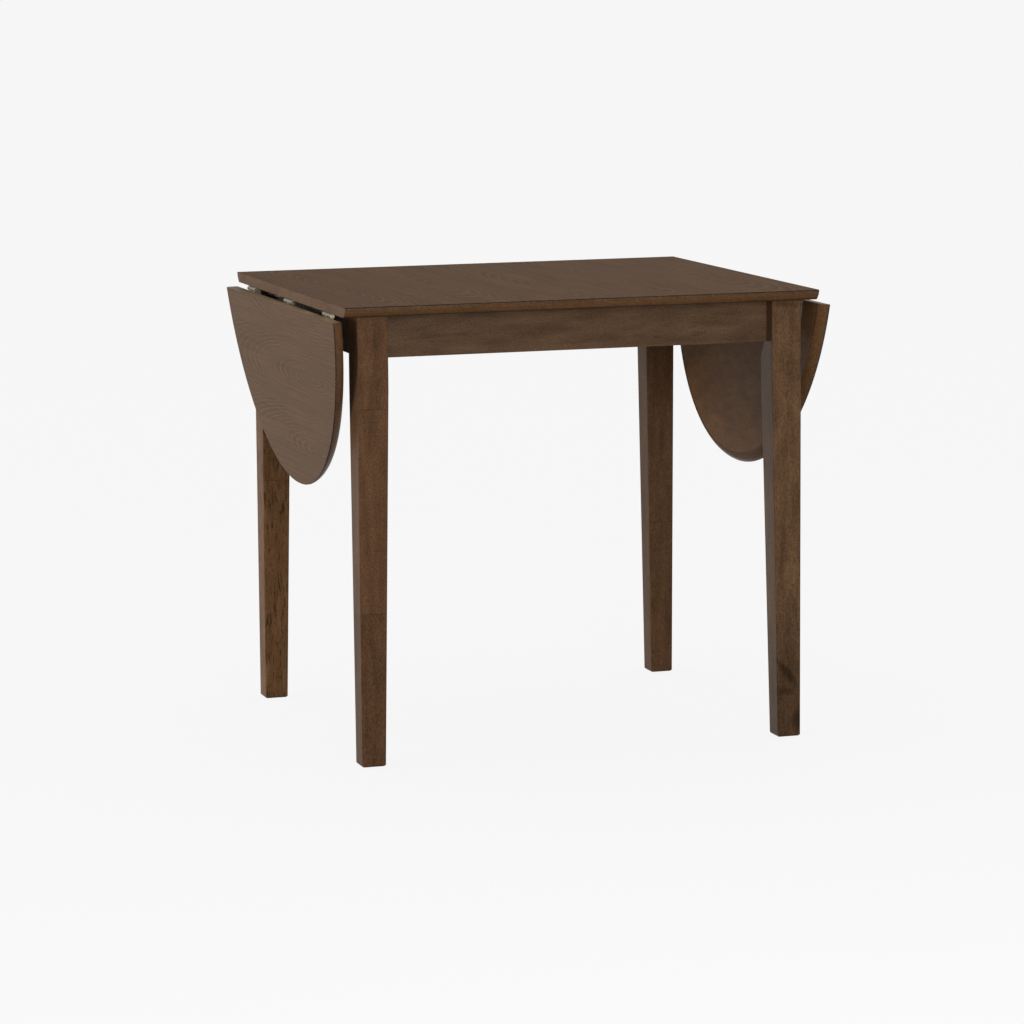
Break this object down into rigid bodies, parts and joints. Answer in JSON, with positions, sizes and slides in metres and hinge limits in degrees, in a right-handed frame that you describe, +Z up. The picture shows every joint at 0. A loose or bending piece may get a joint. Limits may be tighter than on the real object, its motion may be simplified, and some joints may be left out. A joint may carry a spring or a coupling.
{
  "type": "drop-leaf table",
  "caption": "Rectangular wooden table on tapered legs, with D-shaped drop leaves hinged at both ends and flat pull-out bars that hold the raised leaves level.",
  "frame": {"origin": "on the floor, under the middle of the table", "axes": "+X to the right end leaf, +Y to the back rail, +Z up"},
  "size_m": [0.8497, 0.7, 0.75],
  "materials": {
    "stained_veneer": "dark stained oak veneer, satin lacquer",
    "stained_lipping": "dark stained solid wood edge, satin lacquer",
    "board_core": "stained board",
    "stained_rubberwood": "dark stained rubberwood, satin lacquer",
    "raw_rubberwood": "bare sawn rubberwood",
    "nickel_steel": "nickel plated",
    "bar_steel": "blackened steel",
    "zinc_steel": "zinc plated"
  },
  "bodies": {
    "table": {"back_apron": "stained_rubberwood", "back_left_corner_block": "raw_rubberwood", "back_left_leg": "stained_rubberwood", "back_lipping": "stained_lipping", "back_right_corner_block": "raw_rubberwood", "back_right_leg": "stained_rubberwood", "bar_keepers": "zinc_steel", "bolt_nuts": "zinc_steel", "bolt_washers": "zinc_steel", "bracket_screws": "zinc_steel", "corner_block_screws": "zinc_steel", "front_apron": "stained_rubberwood", "front_left_corner_block": "raw_rubberwood", "front_left_leg": "stained_rubberwood", "front_lipping": "stained_lipping", "front_right_corner_block": "raw_rubberwood", "front_right_leg": "stained_rubberwood", "hanger_bolts": "zinc_steel", "keeper_screws": "zinc_steel", "left_apron": "stained_rubberwood", "left_back_hinge_fixed_plate": "nickel_steel", "left_front_hinge_fixed_plate": "nickel_steel", "left_hinge_pins": "nickel_steel", "left_hinge_top_screws": "nickel_steel", "left_middle_hinge_fixed_plate": "nickel_steel", "right_apron": "stained_rubberwood", "right_back_hinge_fixed_plate": "nickel_steel", "right_front_hinge_fixed_plate": "nickel_steel", "right_hinge_pins": "nickel_steel", "right_hinge_top_screws": "nickel_steel", "right_middle_hinge_fixed_plate": "nickel_steel", "top_brackets": "zinc_steel", "top_core": "board_core", "top_veneer": "stained_veneer"},
    "right_leaf": {"right_back_hinge_moving_plate": "nickel_steel", "right_front_hinge_moving_plate": "nickel_steel", "right_hinge_leaf_screws": "nickel_steel", "right_leaf_core": "board_core", "right_leaf_lipping": "stained_lipping", "right_leaf_veneer": "stained_veneer", "right_middle_hinge_moving_plate": "nickel_steel"},
    "left_leaf": {"left_back_hinge_moving_plate": "nickel_steel", "left_front_hinge_moving_plate": "nickel_steel", "left_hinge_leaf_screws": "nickel_steel", "left_leaf_core": "board_core", "left_leaf_lipping": "stained_lipping", "left_leaf_veneer": "stained_veneer", "left_middle_hinge_moving_plate": "nickel_steel"},
    "front_right_bar": {"front_right_bar_knob": "bar_steel", "front_right_support_bar": "bar_steel"},
    "back_right_bar": {"back_right_bar_knob": "bar_steel", "back_right_support_bar": "bar_steel"},
    "front_left_bar": {"front_left_bar_knob": "bar_steel", "front_left_support_bar": "bar_steel"},
    "back_left_bar": {"back_left_bar_knob": "bar_steel", "back_left_support_bar": "bar_steel"}
  },
  "joints": [
    {"name": "right_leaf_fold", "type": "hinge", "parent": "table", "child": "right_leaf", "pos_m": [0.404, 0, 0.7288], "axis": [0, -1, 0], "range_deg": [-5.6, 94.7]},
    {"name": "left_leaf_fold", "type": "hinge", "parent": "table", "child": "left_leaf", "pos_m": [-0.404, 0, 0.7288], "axis": [0, 1, 0], "range_deg": [-4.2, 96.1]},
    {"name": "front_right_bar_slide", "type": "slide", "parent": "table", "child": "front_right_bar", "axis": [1, 0, 0], "range_m": [0, 0.18]},
    {"name": "front_left_bar_slide", "type": "slide", "parent": "table", "child": "front_left_bar", "axis": [-1, 0, 0], "range_m": [0, 0.18]},
    {"name": "back_right_bar_slide", "type": "slide", "parent": "table", "child": "back_right_bar", "axis": [1, 0, 0], "range_m": [0, 0.18]},
    {"name": "back_left_bar_slide", "type": "slide", "parent": "table", "child": "back_left_bar", "axis": [-1, 0, 0], "range_m": [0, 0.18]}
  ]
}
